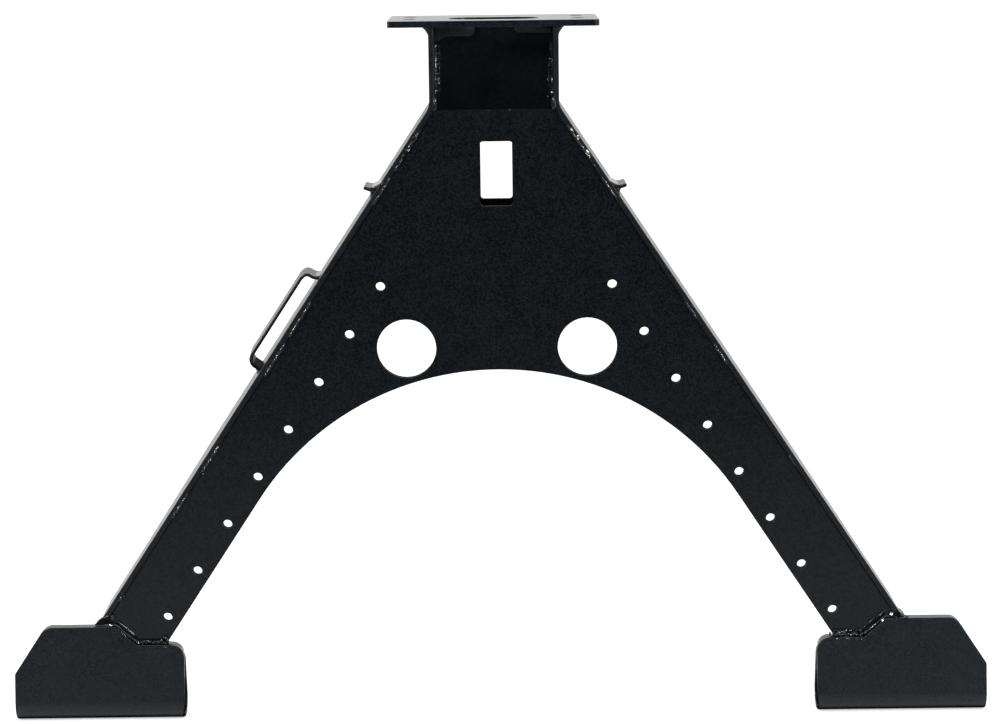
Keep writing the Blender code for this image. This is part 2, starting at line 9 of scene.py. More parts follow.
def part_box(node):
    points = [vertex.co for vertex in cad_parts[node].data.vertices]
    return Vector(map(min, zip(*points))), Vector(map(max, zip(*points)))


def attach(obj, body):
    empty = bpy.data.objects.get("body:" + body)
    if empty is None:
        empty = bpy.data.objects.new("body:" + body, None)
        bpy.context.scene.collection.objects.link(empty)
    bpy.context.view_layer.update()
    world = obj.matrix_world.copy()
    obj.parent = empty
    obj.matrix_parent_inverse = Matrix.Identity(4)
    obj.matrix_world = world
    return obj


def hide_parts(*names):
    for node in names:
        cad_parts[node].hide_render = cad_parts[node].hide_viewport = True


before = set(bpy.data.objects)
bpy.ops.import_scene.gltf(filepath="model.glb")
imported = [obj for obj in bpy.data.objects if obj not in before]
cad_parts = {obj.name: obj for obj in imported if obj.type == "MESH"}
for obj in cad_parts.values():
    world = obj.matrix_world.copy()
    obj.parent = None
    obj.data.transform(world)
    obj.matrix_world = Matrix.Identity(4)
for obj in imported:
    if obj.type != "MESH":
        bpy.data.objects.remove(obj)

scene = bpy.context.scene
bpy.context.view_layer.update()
print("frame loaded with", len(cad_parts), "nodes")

# Front view of the weldment in metres: the right leg is drawn, the left one mirrors it
layout = {
    "legAngle": math.radians(33.45),            # leg from the upright
    "shoulder": Vector((0.0640, 0.6197)),       # outer corner between riser and leg
    "legLength": 0.6237,
    "barThick": 0.0048,
    "legWidth": 0.0690,
    "shoeTop": 0.0966,
    "shoeStep": 0.0188,         # fall of the step in the shoe's top edge
    "stepInset": 0.0120,        # from the bar to the start of the step
    "stepAngle": math.radians(40),
    "rearDrop": 0.0080,         # shoe's rear top edge below its front one
    "lugDrop": 0.0810,          # lug's middle below the shoulder
    "lugThick": 0.0036,
    "loopStart": 0.2075,        # along the leg from the shoulder
    "loopLength": 0.1125,
    "loopFront": 0.030,         # loop's front edge behind the bar's front edge
    "loopWidth": 0.042,
    "lugFront": 0.003,
    "lugWidth": 0.048,
}
sides = {"left": -1, "right": 1}
legDown = Vector((math.sin(layout["legAngle"]), -math.cos(layout["legAngle"])))
legOut = Vector((math.cos(layout["legAngle"]), math.sin(layout["legAngle"])))
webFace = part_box("front_web")[0].y
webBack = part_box("front_web")[1].y
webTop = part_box("front_web")[1].z
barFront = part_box("side_bar_left")[0].y
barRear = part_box("side_bar_left")[1].y
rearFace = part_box("rear_web")[0].y
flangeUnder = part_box("top_flange")[0].z
up = Vector((0, 0, 1))
back = Vector((0, 1, 0))
frontWay = -back
rightWay = Vector((1, 0, 0))


def legPoint(side, along, out, depth):
    spot = layout["shoulder"] + legDown * along + legOut * out
    return Vector((side * spot.x, depth, spot.y))


def legX(out, height):
    return (layout["shoulder"].dot(legOut) + out - height * legOut.y) / legOut.x


def inView(side, way):
    return Vector((side * way[0], 0, way[1]))


# Coats: black powder paint, glossier where it flowed over the welds, dull on cut edges; the lip
# coats are painted light and the near-black strip coat is painted shade
webCoat = {"colour": (0.0022, 0.0034, 0.0048), "pale": 4.5, "grain": 640,
           "rough": 0.24, "roughVary": 0.06, "peel": 1050, "peelDepth": 0.00005,
           "wave": 9, "waveDepth": 0.0004, "shine": 0.5}
barCoat = dict(webCoat, colour=(0.0028, 0.0038, 0.0050), rough=0.33, roughVary=0.05,
               peelDepth=0.00001, wave=12, waveDepth=0.0001)
flangeCoat = dict(barCoat, colour=(0.0042, 0.0056, 0.0074), rough=0.20)
shoeCoat = dict(webCoat, colour=(0.0044, 0.0060, 0.0080), pale=3.4, rough=0.28, peel=900,
                wave=15, waveDepth=0.0010)
beadCoat = dict(webCoat, colour=(0.0056, 0.0072, 0.0092), pale=2.0, rough=0.17, peel=700,
                wave=160, waveDepth=0.0002, shine=1.0)
cutCoat = dict(webCoat, rough=0.70, shine=0.12)
# lip coats: both lighter than the bar paint as painted light, the right one darker than the left as
# painted shade
leftLipPaintedLightCoat = dict(barCoat, colour=(0.0160, 0.0195, 0.0237), pale=2.0, rough=0.34)
rightLipPaintedShadeCoat = dict(leftLipPaintedLightCoat, colour=(0.0072, 0.0088, 0.0107))
# near-black matte coat: painted shade for the seam gaps, the foot weld's crevice and the heel wedge
paintedShadeCoat = dict(webCoat, colour=(0.0016, 0.0020, 0.0024), pale=2.0, rough=0.80, shine=0.1)
coatLooks = {"web": webCoat, "bar": barCoat, "flange": flangeCoat, "shoe": shoeCoat,
             "bead": beadCoat, "cut": cutCoat, "paintedShade": paintedShadeCoat,
             "leftLipPaintedLighting": leftLipPaintedLightCoat, "rightLipPaintedLighting": rightLipPaintedShadeCoat}
speckle = {"noiseRough": 0.6, "darkAt": 0.40, "paleAt": 0.60,       # powder specks
           "patches": 38, "patchLow": 0.3, "patchHigh": 0.7}        # duller and glossier patches


def addNode(tree, kind, values):
    made = tree.nodes.new(kind)
    for socket, value in values.items():
        made.inputs[socket].default_value = value
    return made


def makeCoat(name, look):
    coat = bpy.data.materials.new(name)
    coat.use_nodes = True
    tree = coat.node_tree
    shader = tree.nodes["Principled BSDF"]
    place = tree.nodes.new("ShaderNodeTexCoord").outputs["Object"]

    def field(scale, detail):
        made = addNode(tree, "ShaderNodeTexNoise", {
            "Scale": scale, "Detail": detail, "Roughness": speckle["noiseRough"]})
        tree.links.new(place, made.inputs["Vector"])
        return made.outputs["Fac"]

    tint = tree.nodes.new("ShaderNodeValToRGB")
    dark, pale = tint.color_ramp.elements
    dark.position, pale.position = speckle["darkAt"], speckle["paleAt"]
    dark.color = (*[channel / look["pale"] ** 0.5 for channel in look["colour"]], 1)
    pale.color = (*[channel * look["pale"] ** 0.5 for channel in look["colour"]], 1)
    tree.links.new(field(look["grain"], detail=1), tint.inputs["Fac"])
    tree.links.new(tint.outputs["Color"], shader.inputs["Base Color"])

    spread = addNode(tree, "ShaderNodeMapRange", {
        "From Min": speckle["patchLow"], "From Max": speckle["patchHigh"],
        "To Min": look["rough"] - look["roughVary"] / 2,
        "To Max": look["rough"] + look["roughVary"] / 2})
    tree.links.new(field(speckle["patches"], detail=4), spread.inputs["Value"])
    tree.links.new(spread.outputs["Result"], shader.inputs["Roughness"])

    wave = addNode(tree, "ShaderNodeBump", {"Strength": 1, "Distance": look["waveDepth"]})
    tree.links.new(field(look["wave"], detail=1), wave.inputs["Height"])
    peel = addNode(tree, "ShaderNodeBump", {"Strength": 1, "Distance": look["peelDepth"]})
    tree.links.new(field(look["peel"], detail=2), peel.inputs["Height"])
    tree.links.new(wave.outputs["Normal"], peel.inputs["Normal"])
    tree.links.new(peel.outputs["Normal"], shader.inputs["Normal"])
    shader.inputs["Specular IOR Level"].default_value = look["shine"]
    return coat


coats = {name: makeCoat(name + "Coat", look) for name, look in coatLooks.items()}
print("coats made:", ", ".join(coats))


def addPiece(name, bm, coat, nodes):
    bmesh.ops.recalc_face_normals(bm, faces=bm.faces)
    mesh = bpy.data.meshes.new(name)
    bm.to_mesh(mesh)
    bm.free()
    mesh.shade_smooth()
    mesh.materials.append(coats[coat])
    piece = bpy.data.objects.new(name, mesh)
    scene.collection.objects.link(piece)
    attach(piece, "root")
    if nodes:
        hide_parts(*nodes)
    return piece


paintedEdge = {"segments": 3, "fromAngle": math.radians(38), "faceWeight": 100}


def roundEdges(piece, width):
    edge = piece.modifiers.new("paintedEdge", "BEVEL")
    edge.width = width
    edge.segments = paintedEdge["segments"]
    edge.limit_method = "ANGLE"
    edge.angle_limit = paintedEdge["fromAngle"]
    facing = piece.modifiers.new("flatFaces", "WEIGHTED_NORMAL")     # keeps the big faces flat
    facing.weight = paintedEdge["faceWeight"]


# Plates and bars keep the frame's shape and get painted, rounded edges
plates = {
    "webPlate": {"node": "front_web", "edge": 0.0005, "coat": "web"},
    "rearPlate": {"node": "rear_web", "edge": 0.0007, "coat": "web"},
    "boltFlange": {"node": "top_flange", "edge": 0.0007, "coat": "flange"},
    "sideBarLeft": {"node": "side_bar_left", "edge": 0.0006, "coat": "bar",
                    "side": -1, "lean": 0.0012},
    "sideBarRight": {"node": "side_bar_right", "edge": 0.0006, "coat": "bar",
                     "side": 1, "lean": 0.0002},
    "footShoeLeft": {"node": "foot_shoe_left", "edge": 0.0007, "coat": "shoe",
                     "side": -1, "reach": 0.0016},
    "footShoeRight": {"node": "foot_shoe_right", "edge": 0.0007, "coat": "shoe",
                      "side": 1, "reach": 0.0016},
    "lugLeft": {"node": "lug_left", "edge": 0.0007, "coat": "bar"},
    "lugRight": {"node": "lug_right", "edge": 0.0007, "coat": "bar"},
}
plateMerge = {"distance": 0.000002, "angle": math.radians(0.5)}     # joins facets that lie flat
barFit = {"press": 0.0004, "leanRun": 0.06}         # tight on the webs, rear edge leaning out
shoeEnd = {"run": 0.013, "foot": 0.012, "rise": 0.012}      # inner end drawn out above the foot
cutWall = {"tilt": 0.5, "aboveShoe": 0.002}         # cut edges that get the dull coat


def isWall(face):
    return abs(face.normal.y) < cutWall["tilt"]


def settleBar(bm, plate):
    side = plate["side"]
    for vert in bm.verts:
        fromShoulder = Vector((side * vert.co.x, vert.co.z)) - layout["shoulder"]
        fromLeg = fromShoulder.dot(legOut)
        outward = rightWay * side if fromShoulder.x < fromLeg else inView(side, legOut)
        if min(fromShoulder.x, fromLeg) < -layout["barThick"] / 2:
            vert.co -= outward * barFit["press"]
        onLeg = min(1, max(0, fromShoulder.dot(legDown) / barFit["leanRun"]))
        share = (vert.co.y - barFront) / (barRear - barFront) * onLeg
        vert.co += inView(side, legOut) * plate["lean"] * share


def drawShoe(bm, plate):
    innerEnd = min(plate["side"] * vert.co.x for vert in bm.verts)
    for vert in bm.verts:
        share = 1 - (plate["side"] * vert.co.x - innerEnd) / shoeEnd["run"]
        if share > 0 and vert.co.y < webFace:
            climb = min(1, (vert.co.z - shoeEnd["foot"]) / shoeEnd["rise"])
            vert.co.x -= plate["side"] * plate["reach"] * share * climb


for name, plate in plates.items():
    bm = bmesh.new()
    bm.from_mesh(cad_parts[plate["node"]].data)
    bmesh.ops.remove_doubles(bm, verts=bm.verts, dist=plateMerge["distance"])
    bmesh.ops.dissolve_limit(bm, angle_limit=plateMerge["angle"], verts=bm.verts, edges=bm.edges)
    if "lean" in plate:
        settleBar(bm, plate)
    if "reach" in plate:
        drawShoe(bm, plate)
    if plate["coat"] == "web":
        dullFrom = layout["shoeTop"] + cutWall["aboveShoe"]
        for face in bm.faces:
            face.material_index = int(isWall(face) and face.calc_center_median().z > dullFrom)
    piece = addPiece(name, bm, plate["coat"], [plate["node"]])
    piece.data.materials.append(coats["cut"])
    roundEdges(piece, plate["edge"])
print("plates coated:", len(plates))


# Strap loop: flat strap whose upper end sweeps on to the bar and whose lower end stands square
loop = {
    "thick": 0.0032, "out": 0.0166, "bend": 0.0100, "end": 0.3200, "edge": 0.0009,
    "straightFrom": 0.23, "foot": 0.0003, "rearLean": 0.115, "dullBelow": 0.361,
    "sweep": ((0.2030, 0.0004), (0.2050, 0.0009), (0.2065, 0.0021), (0.2076, 0.0041),
              (0.2082, 0.0063), (0.2084, 0.0098), (0.2091, 0.0124), (0.2107, 0.0144),
              (0.2134, 0.0157), (0.2172, 0.0166)),
}


def bentLine(corners, steps=8):
    points = []
    for index, (x, y, radius) in enumerate(corners):
        corner = Vector((x, y))
        if radius == 0:
            points.append(corner)
            continue
        before = (Vector(corners[index - 1][:2]) - corner).normalized()
        after = (Vector(corners[index + 1][:2]) - corner).normalized()
        half = before.angle(after) / 2
        centre = corner + (before + after).normalized() * radius / math.sin(half)
        start = corner + before * radius / math.tan(half) - centre
        turn = start.angle_signed(corner + after * radius / math.tan(half) - centre)
        for step in range(steps + 1):
            points.append(centre + Matrix.Rotation(-turn * step / steps, 2) @ start)
    return points


def offsetLine(points, distance):
    moved = []
    for index, point in enumerate(points):
        ahead = points[min(index + 1, len(points) - 1)] - points[max(index - 1, 0)]
        moved.append(point + Vector((-ahead.y, ahead.x)).normalized() * distance)
    return moved


def strapLoop():
    outer = [Vector(spot) for spot in loop["sweep"]] + bentLine([
        (loop["straightFrom"], loop["out"], 0), (loop["end"], loop["out"], loop["bend"]),
        (loop["end"], loop["foot"], 0)])
    outline = outer + offsetLine(outer, -loop["thick"])[::-1]
    front = barFront + layout["loopFront"]
    rear = front + layout["loopWidth"]
    rearOut = 1 + loop["rearLean"]
    bm = bmesh.new()
    near = [bm.verts.new(legPoint(-1, along, out, front)) for along, out in outline]
    far = [bm.verts.new(legPoint(-1, along, out * rearOut, rear)) for along, out in outline]
    for index in range(len(outline)):
        bm.faces.new((near[index - 1], near[index], far[index], far[index - 1]))
    for rim in (near, far):
        for index in range(len(outer) - 1):             # quads across the strap's edge
            bm.faces.new((rim[index], rim[index + 1], rim[-index - 2], rim[-index - 1]))
    for face in bm.faces:                               # lower end is dull
        middle = face.calc_center_median()
        face.material_index = int(isWall(face) and middle.z < loop["dullBelow"])
    piece = addPiece("strapLoop", bm, "bar", ["strap_loop"])
    piece.data.materials.append(coats["cut"])
    roundEdges(piece, loop["edge"])


strapLoop()
print("strap loop bent")


# Weld beads: a section swept along the joint, with crescent ripples and lumps
beadForm = {"seed": 0.37, "rootShare": 0.4, "tipGrow": 0.97, "tipLeast": 0.03, "waverRate": 260,
            "drift": 0.4, "driftRate": 140, "lumpSpan": 2.2, "rippleMean": 0.6}
swellRow, waverRow, driftRow = 9, 5, 0              # rows of the noise field


def spaced(path, uWays, vWays, step):
    stations, run = [], 0.0
    for index in range(len(path) - 1):
        length = (path[index + 1] - path[index]).length
        count = max(2, round(length / step))
        for part in range(count + (index == len(path) - 2)):
            share = part / count
            stations.append((path[index].lerp(path[index + 1], share),
                             uWays[index].lerp(uWays[index + 1], share),
                             vWays[index].lerp(vWays[index + 1], share), run + length * share))
        run += length
    return stations, run


def layBead(name, nodes, path, uWays, vWays, section, look, coat="bead"):
    stations, total = spaced(path, uWays, vWays, look["step"])
    seed = sum(ord(letter) for letter in name) * beadForm["seed"]
    rootU = sum(u for u, v in section) / len(section) * beadForm["rootShare"]
    rootV = min(v for u, v in section)
    last = len(section) - 1

    def wander(run, rate, row):
        return noise.noise(Vector((run * rate, seed, row)))

    bm = bmesh.new()
    rings = []
    for point, uWay, vWay, run in stations:
        near = min(run, total - run) / look["tip"]
        tip = math.sqrt(max(0.0, 1 - (1 - min(near, 1)) ** 2))
        tip = tip * beadForm["tipGrow"] + beadForm["tipLeast"]
        size = tip * (1 + look["swell"] * wander(run, look["swellRate"], swellRow))
        waver = look["waver"] * wander(run, beadForm["waverRate"], waverRow)
        drift = beadForm["drift"] * wander(run, beadForm["driftRate"], driftRow)
        ring = []
        for index, (u, v) in enumerate(section):
            share = index / last
            ahead = Vector(section[min(index + 1, last)]) - Vector(section[max(index - 1, 0)])
            bow = look["bow"] * (1 - (2 * share - 1) ** 2)
            ripple = abs(math.sin(math.pi * ((run + bow) / look["pitch"] + drift)))
            ripple = look["ripple"] * (ripple - beadForm["rippleMean"])
            lump = look["lump"] * noise.noise(Vector((run * look["lumpRate"],
                                                      share * beadForm["lumpSpan"], seed)))
            inside = math.sin(math.pi * share) ** 0.5 if 0 < index < last else 0
            push = (ripple + lump) * inside
            normal = Vector((ahead.y, -ahead.x)).normalized() * (push * tip)
            ring.append(bm.verts.new(
                point + uWay * (rootU + (u - rootU) * tip + waver + normal.x)
                + vWay * (rootV + (v - rootV) * size + normal.y)))
        ring.append(bm.verts.new(point + uWay * look["rootU"] + vWay * look["rootV"]))
        rings.append(ring)
    for near, far in zip(rings, rings[1:]):
        for index in range(len(near)):
            bm.faces.new((near[index - 1], near[index], far[index], far[index - 1]))
    bm.faces.new(rings[0])
    bm.faces.new(rings[-1])
    addPiece(name, bm, coat, nodes)


def straightBead(name, node, ends, uWay, vWay, section, look):
    layBead(name, [node], ends, [uWay] * 2, [vWay] * 2, section, look)


# Lumps and dashes of weld: middle, way along, way it faces, length, width, height, hollow of the top
dabForm = {"seed": 0.53, "facets": 3, "uneven": 0.22, "unevenRate": 1.6, "apart": 3.1}


def layDabs(name, dabs):
    bm = bmesh.new()
    seed = sum(ord(letter) for letter in name) * dabForm["seed"]
    for index, (middle, way, facing, length, width, height, hollow) in enumerate(dabs):
        facing = facing.normalized()
        way = (way - facing * way.dot(facing)).normalized()
        turn = Matrix((way, facing.cross(way), facing)).transposed()
        row = Vector((index * dabForm["apart"], seed, 0))
        ball = bmesh.ops.create_icosphere(bm, subdivisions=dabForm["facets"], radius=1)
        for vert in ball["verts"]:
            spot = vert.co.copy()
            uneven = 1 + dabForm["uneven"] * noise.noise(spot * dabForm["unevenRate"] + row)
            if spot.z > 0:
                spot.z *= 1 - hollow * spot.z ** 2
            spot = Vector((spot.x * length / 2, spot.y * width / 2, spot.z * height))
            vert.co = middle + turn @ spot * uneven
    addPiece(name, bm, "bead", [])


# Flat shape in the front view, drawn from front to rear
def laySlab(name, nodes, side, outline, front, rear, coat, edge):
    bm = bmesh.new()
    near, far = ([bm.verts.new((side * x, depth, z)) for x, z in outline]
                 for depth in (front, rear))
    bm.faces.new(near)
    bm.faces.new(far)
    for index in range(len(outline)):
        bm.faces.new((near[index - 1], near[index], far[index], far[index - 1]))
    roundEdges(addPiece(name, bm, coat, nodes), edge)


def filletSection(legU, legV, power, steps=9):
    section = []
    for step in range(steps + 1):
        angle = math.pi / 2 * step / steps
        section.append((legU * math.cos(angle) ** power, legV * math.sin(angle) ** power))
    return section


plainRun = {"step": 0.0007, "tip": 0.004, "pitch": 0.0033, "ripple": 0.00035, "lump": 0.0005,
            "lumpRate": 240, "bow": 0.0016, "swell": 0, "swellRate": 170, "waver": 0,
            "rootU": -0.0004, "rootV": -0.0004}
softRun = dict(plainRun, ripple=0.00008, lump=0.0003, lumpRate=90)
squareRun = dict(softRun, tip=0.0006)
roughRun = dict(plainRun, ripple=0.0006, lump=0.0010, lumpRate=330)
paintedShadeSink = {"depth": 0.001, "edge": 0.00005}       # near-black strips of painted shade let into the web
catchLeft = Vector((-0.29, -0.90, 0.33))            # facets that face this way catch the left lamp
catchRight = Vector((0.33, -0.91, 0.26))


# Seam beads lie in the step between the bar's front edge and the web, with a steep wall to the web
seamRuns = {            # from and to, in shares of the leg's length
    "left": ((0.035, 0.077), (0.090, 0.118), (0.126, 0.182), (0.363, 0.434), (0.442, 0.509),
             (0.641, 0.697), (0.734, 0.787), (0.938, 0.952)),
    "right": ((0.030, 0.101), (0.126, 0.174), (0.368, 0.409), (0.453, 0.497), (0.672, 0.699)),
}
seamBead = {
    "section": ((0.0026, 0.0027), (0.0032, 0.0034), (0.0040, 0.0037), (0.0047, 0.0035),
                (0.0052, 0.0029), (0.0055, 0.0021), (0.0058, 0.0012), (0.0061, 0.0003),
                (0.0063, -0.0004)),
    "run": dict(plainRun, ripple=0.0002, lump=0.0003, lumpRate=300, swell=0.45, waver=0.0006,
                rootU=0.0044, rootV=-0.0003),
    "shift": {"left": (0.0005, 0.0010, 0.0012, 0.0015, 0.0020, 0.0013, 0.0006, 0.0010),
              "right": (0.0, 0.0003, 0.0006, 0.0007, 0.0006)},
    "paintedShade": (0.0050, 0.0062), "paintedShadeRise": 0.0002, "paintedShadeEnds": (0.016, 0.612),
    "dabDepth": 0.0012,         # dabs beside the bar, behind its front edge
}
# along the leg, inward, length, width, height, hollow, way it faces
seamDabs = {
    "left": ((0.0340, 0.0046, 0.0050, 0.0050, 0.0012, 0.5, frontWay),
             (0.0455, 0.0048, 0.0085, 0.0040, 0.0012, 0.6, catchRight),
             (0.0553, 0.0042, 0.0055, 0.0018, 0.0008, 0, frontWay),
             (0.0691, 0.0062, 0.0022, 0.0016, 0.0008, 0, catchRight),
             (0.0887, 0.0022, 0.0055, 0.0012, 0.0006, 0, catchLeft),
             (0.4341, 0.0074, 0.0024, 0.0016, 0.0007, 0, catchRight),
             (0.2350, 0.0060, 0.0030, 0.0014, 0.0006, 0, catchRight),
             (0.5850, 0.0066, 0.0028, 0.0018, 0.0007, 0, catchRight)),
    "right": ((0.0256, 0.0026, 0.0085, 0.0030, 0.0009, 0.3, catchLeft),
              (0.0352, 0.0022, 0.0088, 0.0040, 0.0012, 0.6, catchLeft),
              (0.0525, 0.0025, 0.0165, 0.0042, 0.0013, 0.7, catchLeft),
              (0.0683, 0.0040, 0.0040, 0.0014, 0.0006, 0, frontWay),
              (0.0835, 0.0042, 0.0070, 0.0014, 0.0007, 0, catchLeft),
              (0.1013, 0.0037, 0.0120, 0.0013, 0.0007, 0, catchLeft)),
}
for key, side in sides.items():
    for number, shares in enumerate(seamRuns[key], 1):
        shift = seamBead["shift"][key][number - 1]
        ends = [legPoint(side, share * layout["legLength"], -shift, webFace) for share in shares]
        straightBead("seamBead_%s_%d" % (key, number), "seam_weld_%s_%d" % (key, number), ends,
                     inView(side, -legOut), frontWay, seamBead["section"], seamBead["run"])
    dabs = []
    for along, inward, length, width, height, hollow, facing in seamDabs[key]:
        onBar = inward < layout["barThick"]
        depth = barFront if onBar else barFront + seamBead["dabDepth"]
        dabs.append((legPoint(side, along, -inward, depth), inView(side, legDown), facing,
                     length, width, height, hollow))
    layDabs("seamDabs_" + key, dabs)
    # a near-black strip along the seam paints the shade of the gap between bar and web
    start, end = seamBead["paintedShadeEnds"]
    outer, inner = seamBead["paintedShade"]
    strip = [layout["shoulder"] + legDown * along - legOut * inward for along, inward in
             ((start, outer), (end, outer), (end, inner), (start, inner))]
    laySlab("seamPaintedShade_" + key, [], side, strip, webFace - seamBead["paintedShadeRise"],
            webFace + paintedShadeSink["depth"], "paintedShade", paintedShadeSink["edge"])
print("seam beads laid")


# Beads of the riser: flange fillets, hanging lips, rear corners and the web's top corners
riserBeads = {
    "flangeOut": 0.0062, "flangeDrop": 0.0085, "flangePower": 2.6, "flangeStart": 0.0005,
    "lipGap": 0.0002, "lipReach": 0.0060, "lipSink": 0.0004, "lipEdge": 0.0016,
    "corner": {"left": 0.0050, "right": 0.0036}, "cornerPower": 1.4,
    "cornerFoot": 0.004, "cornerTop": 0.019, "cornerDabs": 0.0035,
    "shoulder": 0.0028, "shoulderPower": 1.2, "shoulderEnds": (0.0003, 0.013),
}
innerX = layout["shoulder"].x - layout["barThick"]
lipTop = flangeUnder - riserBeads["lipGap"]
lips = {
    "left": ((0.0186, lipTop), (0.0187, 0.6895), (0.0203, 0.6862), (0.0240, 0.6848),
             (0.0470, 0.6848), (0.0515, 0.6830), (0.0550, 0.6805), (0.0590, 0.6795),
             (0.0590, lipTop)),
    "right": ((0.0208, lipTop), (0.0211, 0.6912), (0.0224, 0.6888), (0.0252, 0.6877),
              (0.0560, 0.6872), (0.0590, 0.6860), (0.0590, lipTop)),
}
# across, height, length, width, height of the lump, hollow
riserDabs = {
    "left": ((-0.0554, 0.6750, 0.0026, 0.0022, 0.0012, 0),
             (-0.0546, 0.6709, 0.0026, 0.0022, 0.0012, 0),
             (-0.0539, 0.6667, 0.0026, 0.0022, 0.0012, 0),
             (-0.0533, 0.6626, 0.0026, 0.0024, 0.0012, 0),
             (-0.0552, 0.6535, 0.0030, 0.0024, 0.0012, 0),
             (-0.0560, 0.6408, 0.0085, 0.0042, 0.0016, 0.6)),
    "right": ((0.0585, 0.6782, 0.0030, 0.0020, 0.0010, 0),
              (0.0585, 0.6704, 0.0030, 0.0020, 0.0010, 0),
              (0.0561, 0.6614, 0.0024, 0.0022, 0.0010, 0),
              (0.0560, 0.6551, 0.0062, 0.0024, 0.0014, 0),
              (0.0554, 0.6350, 0.0024, 0.0020, 0.0010, 0),
              (0.0543, 0.6235, 0.0024, 0.0020, 0.0010, 0),
              (0.0552, 0.6440, 0.0140, 0.0012, 0.0008, 0)),
}
shoulderDabs = {"left": (-0.0590, 0.6246, 0.0080, 0.0014, 0.0008, 0),
                "right": (0.0602, 0.6223, 0.0134, 0.0016, 0.0009, 0)}
topSpecks = {"left": -0.0059, "right": 0.0157, "depth": 0.0004, "drop": 0.0003,
             "size": (0.0020, 0.0014, 0.0008)}      # on the web's top edge
for key, side in sides.items():
    outward = rightWay * side
    facing = catchRight if side < 0 else catchLeft
    foot = Vector((side * layout["shoulder"].x, 0, flangeUnder))
    flangeEnds = [foot + back * depth for depth in (barFront + riserBeads["flangeStart"], barRear)]
    straightBead("flangeBead_" + key, "flange_weld_" + key, flangeEnds, outward, -up,
                 filletSection(riserBeads["flangeOut"], riserBeads["flangeDrop"],
                               riserBeads["flangePower"]), squareRun)
    # the lip's coat is painted light on the left and a darker copy, painted shade, on the right
    laySlab("lipBead_" + key, ["rear_web_weld_" + key], side, lips[key],
            rearFace - riserBeads["lipReach"], rearFace + riserBeads["lipSink"], key + "LipPaintedLighting",
            riserBeads["lipEdge"])
    corner = riserBeads["corner"][key]
    cornerEnds = [Vector((side * innerX, rearFace, height)) for height in
                  (layout["shoulder"].y + riserBeads["cornerFoot"],
                   flangeUnder - riserBeads["cornerTop"])]
    straightBead("riserBead_" + key, "riser_weld_" + key, cornerEnds, -outward, frontWay,
                 filletSection(corner, corner, riserBeads["cornerPower"]), roughRun)
    small = riserBeads["shoulder"]
    smallEnds = [Vector((side * innerX, barFront, webTop + rise))
                 for rise in riserBeads["shoulderEnds"]]
    straightBead("shoulderBead_" + key, "shoulder_weld_" + key, smallEnds, -outward, back,
                 filletSection(small, small, riserBeads["shoulderPower"]), softRun)
    speck = Vector((topSpecks[key], webFace + topSpecks["depth"], webTop - topSpecks["drop"]))
    layDabs("topSpecks_" + key, [(speck, rightWay, facing, *topSpecks["size"], 0)])
    rows = [(rearFace - riserBeads["cornerDabs"], row) for row in riserDabs[key]]
    rows.append((barFront, shoulderDabs[key]))
    layDabs("riserDabs_" + key, [
        (Vector((across, depth, height)), up, facing, length, width, tall, hollow)
        for depth, (across, height, length, width, tall, hollow) in rows])
print("riser beads laid")


# Beads on the shoes: a thin toe line on the web over a near-black strip of painted shade down the
# slope, then lumps
footBead = {
    "slope": ((0.0016, -0.0004), (0.0022, 0.0004), (0.0025, 0.0012), (0.0022, 0.0020),
              (0.0014, 0.0026), (0.0006, 0.0028), (-0.0003, 0.0029)),
    "flat": ((0.0018, -0.0004), (0.0024, 0.0006), (0.0024, 0.0014), (0.0016, 0.0024),
             (0.0008, 0.0030), (-0.0003, 0.0032)),
    "run": {"left": dict(plainRun, lump=0.0008, ripple=0.0005, tip=0.002, swell=0.3),
            "right": dict(roughRun, lump=0.0010, ripple=0.0004, tip=0.002, swell=0.4)},
    "start": 0.0030,                                # from the bar
    "paintedShade": (0.0026, 0.0054), "paintedShadeRise": 0.0003,
    "toeProud": 0.0008, "proud": 0.0030,            # dabs in front of the web
    "heelProud": 0.0050, "heelAt": 0.0015, "heelBand": 0.0018,
    "shoeProud": 0.0068,
}
heelBead = {"front": 0.0005, "depth": 0.0050, "edge": 0.0008, "shoeRear": -0.0305,
            "runSection": (0.0030, 0.0045, 1.6)}    # fillet behind the slab
glints = {"left": Vector((0.44, -0.85, 0.30)), "right": Vector((-0.39, -0.84, 0.38))}
# from and to (across, height), width, height of the line, whether it lies on the web
toeLines = {
    "left": (((0.3899, 0.1022), (0.3691, 0.0853), 0.0026, 0.0009, True),
             ((0.4021, 0.1056), (0.3956, 0.1093), 0.0024, 0.0010, False),
             ((0.3905, 0.0958), (0.3730, 0.0806), 0.0012, 0.0006, False)),
    "right": (((0.3897, 0.1036), (0.3820, 0.0972), 0.0012, 0.0007, False),
              ((0.3812, 0.0965), (0.3727, 0.0894), 0.0019, 0.0012, True),
              ((0.3712, 0.0879), (0.3692, 0.0861), 0.0016, 0.0010, True),
              ((0.3850, 0.0938), (0.3720, 0.0818), 0.0006, 0.0002, False),
              ((0.3994, 0.0984), (0.4030, 0.0969), 0.0014, 0.0010, False),
              ((0.4030, 0.0969), (0.4110, 0.0970), 0.0016, 0.0010, False),
              ((0.4105, 0.0969), (0.4171, 0.0958), 0.0018, 0.0012, False),
              ((0.4075, 0.0990), (0.4150, 0.0972), 0.0034, 0.0018, False)),
}
